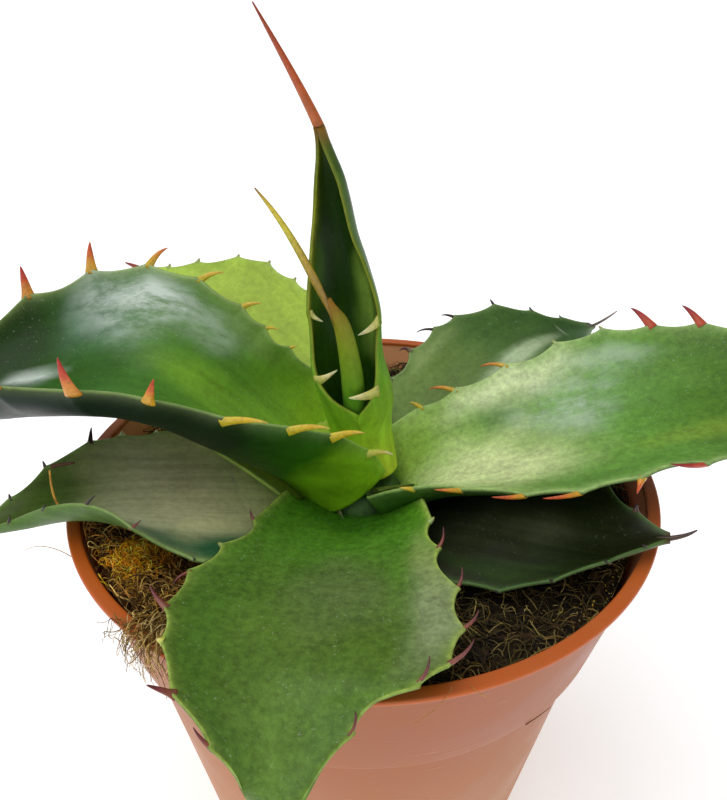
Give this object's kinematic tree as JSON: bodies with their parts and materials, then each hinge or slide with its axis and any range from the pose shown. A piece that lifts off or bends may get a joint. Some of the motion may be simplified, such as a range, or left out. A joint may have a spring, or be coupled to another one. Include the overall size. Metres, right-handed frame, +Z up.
{
  "type": "potted agave",
  "caption": "Young spiny-leaved agave rosette with channelled succulent leaves and long end spines, growing in a soil-filled terracotta-coloured nursery pot.",
  "frame": {"origin": "centre of the pot's flat bottom", "axes": "+Z up along the pot's axis, -Y towards the leaf that lies over the front rim, +X along the big right-hand leaf"},
  "size_m": [0.2841, 0.1718, 0.2198],
  "materials": {
    "pot_plastic": "satin terracotta-coloured plastic, scuffed",
    "soil": "damp peat with bark fibres",
    "stem": "pale green, fleshy",
    "leaf_young": "smooth yellow-green",
    "leaf_spear": "smooth green with a yellow margin",
    "leaf_glossy": "glossy dark green with a pale sheen",
    "leaf_bloomed": "bright green under a pale bloom",
    "leaf_pale": "pale yellow-green",
    "leaf_dark": "dark green with a pale band",
    "leaf_speckled": "mid-green, finely speckled",
    "leaf_old_grey": "dull grey-olive, streaked",
    "leaf_old_dark": "very dark green, almost black",
    "moss": "dry yellow-brown moss and bark"
  },
  "bodies": {
    "root": {"pot": "pot_plastic", "soil": "soil", "stem": "stem", "leaf_heart": "leaf_young", "leaf_spear": "leaf_spear", "leaf_left_upper": "leaf_glossy", "leaf_right_upper": "leaf_bloomed", "leaf_back_left": "leaf_pale", "leaf_back_right": "leaf_dark", "leaf_front": "leaf_speckled", "leaf_left_lower": "leaf_old_grey", "leaf_right_lower": "leaf_old_dark", "moss_clump": "moss"}
  },
  "joints": []
}
